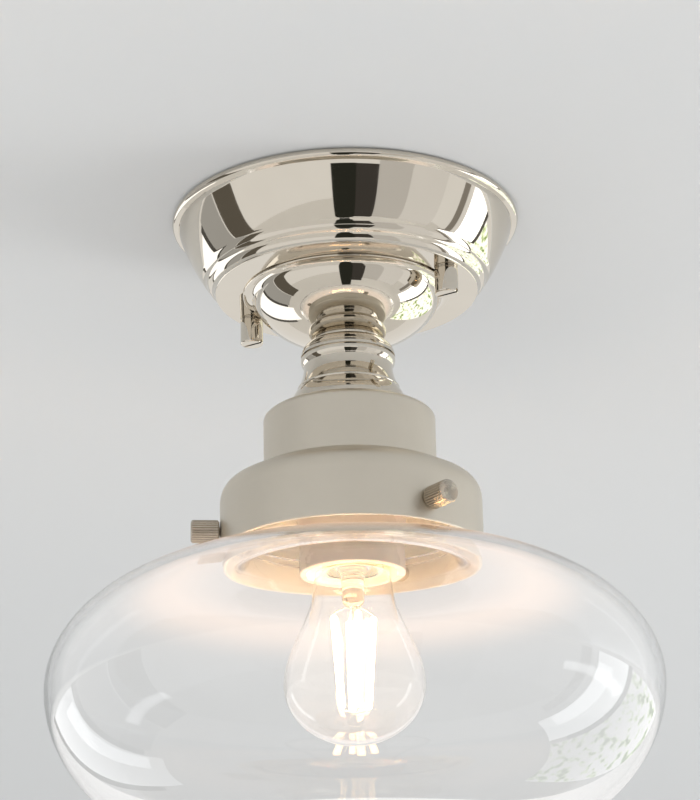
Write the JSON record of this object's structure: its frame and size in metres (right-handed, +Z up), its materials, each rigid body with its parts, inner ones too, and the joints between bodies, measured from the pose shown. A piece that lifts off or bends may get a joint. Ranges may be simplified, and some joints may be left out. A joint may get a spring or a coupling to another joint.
{
  "type": "semi flush ceiling light",
  "caption": "Semi flush ceiling light: stepped round canopy, spun cup and turned stem, two-step glass holder with thumb screws and a wide clear glass shade over a screw-in lamp.",
  "frame": {"origin": "centre of the mounting face, on the ceiling plane", "axes": "+Z up into the ceiling, X along the mounting strap and the two cap nuts"},
  "size_m": [0.2578, 0.2578, 0.278],
  "materials": {
    "polished_nickel": "mirror polished",
    "zinc_steel": "bright zinc plated",
    "brass": "machined",
    "porcelain": "glazed",
    "clear_glass": "clear, fire polished",
    "lamp_glass": "clear",
    "lamp_cap": "bright rolled",
    "lamp_insulator": "glossy",
    "lamp_filament": "coated",
    "block_plastic": "moulded",
    "wire_brown": "extruded",
    "wire_blue": "extruded",
    "wire_green": "extruded"
  },
  "bodies": {
    "fitting": {"canopy": "polished_nickel", "cup": "polished_nickel", "stem": "polished_nickel", "glass_holder": "polished_nickel", "screw_bushes": "brass", "mounting_strap": "zinc_steel", "strap_studs": "zinc_steel", "strap_stud_nuts": "zinc_steel", "earth_screw": "brass", "earth_tag": "brass", "earth_link": "wire_green", "terminal_block": "block_plastic", "terminal_inserts": "brass", "terminal_screws": "zinc_steel", "block_screw": "zinc_steel", "threaded_tube": "zinc_steel", "tube_washer": "zinc_steel", "tube_locknut": "zinc_steel", "holder_washer": "zinc_steel", "holder_locknut": "brass", "lampholder_cap": "brass", "lampholder_insert": "porcelain", "lampholder_skirt": "porcelain", "lampholder_terminal_screws": "brass", "lampholder_shell": "brass", "lampholder_contact": "brass", "wire_earth": "wire_green", "wire_neutral": "wire_blue", "wire_live": "wire_brown"},
    "shade": {"glass_shade": "clear_glass"},
    "lamp_contact": {"bulb_contact": "zinc_steel"},
    "lamp": {"bulb_insulator": "lamp_insulator", "bulb_cap": "lamp_cap", "bulb_glass": "lamp_glass", "bulb_stem": "lamp_glass", "bulb_filaments": "lamp_filament", "bulb_support_wires": "zinc_steel"},
    "thumb_tip_1": {"thumb_screw_tip_1": "brass"},
    "thumb_1": {"thumb_screw_1": "polished_nickel"},
    "thumb_tip_2": {"thumb_screw_tip_2": "brass"},
    "thumb_2": {"thumb_screw_2": "polished_nickel"},
    "thumb_tip_3": {"thumb_screw_tip_3": "brass"},
    "thumb_3": {"thumb_screw_3": "polished_nickel"},
    "nut_washer_left": {"canopy_nut_washer_left": "polished_nickel"},
    "nut_left": {"canopy_nut_left": "polished_nickel"},
    "nut_washer_right": {"canopy_nut_washer_right": "polished_nickel"},
    "nut_right": {"canopy_nut_right": "polished_nickel"}
  },
  "joints": [
    {"name": "shade_turn", "type": "hinge", "parent": "fitting", "child": "shade", "pos_m": [0, 0, -0.15], "axis": [0, 0, 1], "continuous": true},
    {"name": "thumb_1_travel", "type": "slide", "parent": "fitting", "child": "thumb_tip_1", "axis": [0.9272, -0.3746, 0], "range_m": [0, 0.006]},
    {"name": "thumb_1_turn", "type": "hinge", "parent": "thumb_tip_1", "child": "thumb_1", "pos_m": [0.05563, -0.02248, -0.1448], "axis": [0.9272, -0.3746, 0], "range_deg": [0, 3080]},
    {"name": "thumb_2_travel", "type": "slide", "parent": "fitting", "child": "thumb_tip_2", "axis": [-0.788, -0.6157, 0], "range_m": [0, 0.006]},
    {"name": "thumb_2_turn", "type": "hinge", "parent": "thumb_tip_2", "child": "thumb_2", "pos_m": [-0.04728, -0.03694, -0.1448], "axis": [-0.788, -0.6157, 0], "range_deg": [0, 3080]},
    {"name": "thumb_3_travel", "type": "slide", "parent": "fitting", "child": "thumb_tip_3", "axis": [-0.1392, 0.9903, 0], "range_m": [0, 0.006]},
    {"name": "thumb_3_turn", "type": "hinge", "parent": "thumb_tip_3", "child": "thumb_3", "pos_m": [-0.00835, 0.05942, -0.1448], "axis": [-0.1392, 0.9903, 0], "range_deg": [0, 3080]},
    {"name": "nut_left_travel", "type": "slide", "parent": "fitting", "child": "nut_washer_left", "axis": [0, 0, -1], "range_m": [0, 0.006]},
    {"name": "nut_left_turn", "type": "hinge", "parent": "nut_washer_left", "child": "nut_left", "pos_m": [-0.0508, 0, -0.04], "axis": [0, 0, -1], "range_deg": [0, 3080]},
    {"name": "nut_right_travel", "type": "slide", "parent": "fitting", "child": "nut_washer_right", "axis": [0, 0, -1], "range_m": [0, 0.006]},
    {"name": "nut_right_turn", "type": "hinge", "parent": "nut_washer_right", "child": "nut_right", "pos_m": [0.0508, 0, -0.04], "axis": [0, 0, -1], "range_deg": [0, 3080]},
    {"name": "lamp_travel", "type": "slide", "parent": "fitting", "child": "lamp_contact", "axis": [0, 0, -1], "range_m": [0, 0.022]},
    {"name": "lamp_turn", "type": "hinge", "parent": "lamp_contact", "child": "lamp", "pos_m": [0, 0, -0.147], "axis": [0, 0, -1], "range_deg": [0, 2180]}
  ],
  "couplings": [
    {"joint": "thumb_1_travel", "follows": "thumb_1_turn", "m_per_rad": 0.00011141},
    {"joint": "thumb_2_travel", "follows": "thumb_2_turn", "m_per_rad": 0.00011141},
    {"joint": "thumb_3_travel", "follows": "thumb_3_turn", "m_per_rad": 0.00011141},
    {"joint": "nut_left_travel", "follows": "nut_left_turn", "m_per_rad": 0.00011141},
    {"joint": "nut_right_travel", "follows": "nut_right_turn", "m_per_rad": 0.00011141},
    {"joint": "lamp_travel", "follows": "lamp_turn", "m_per_rad": 0.00057757}
  ]
}
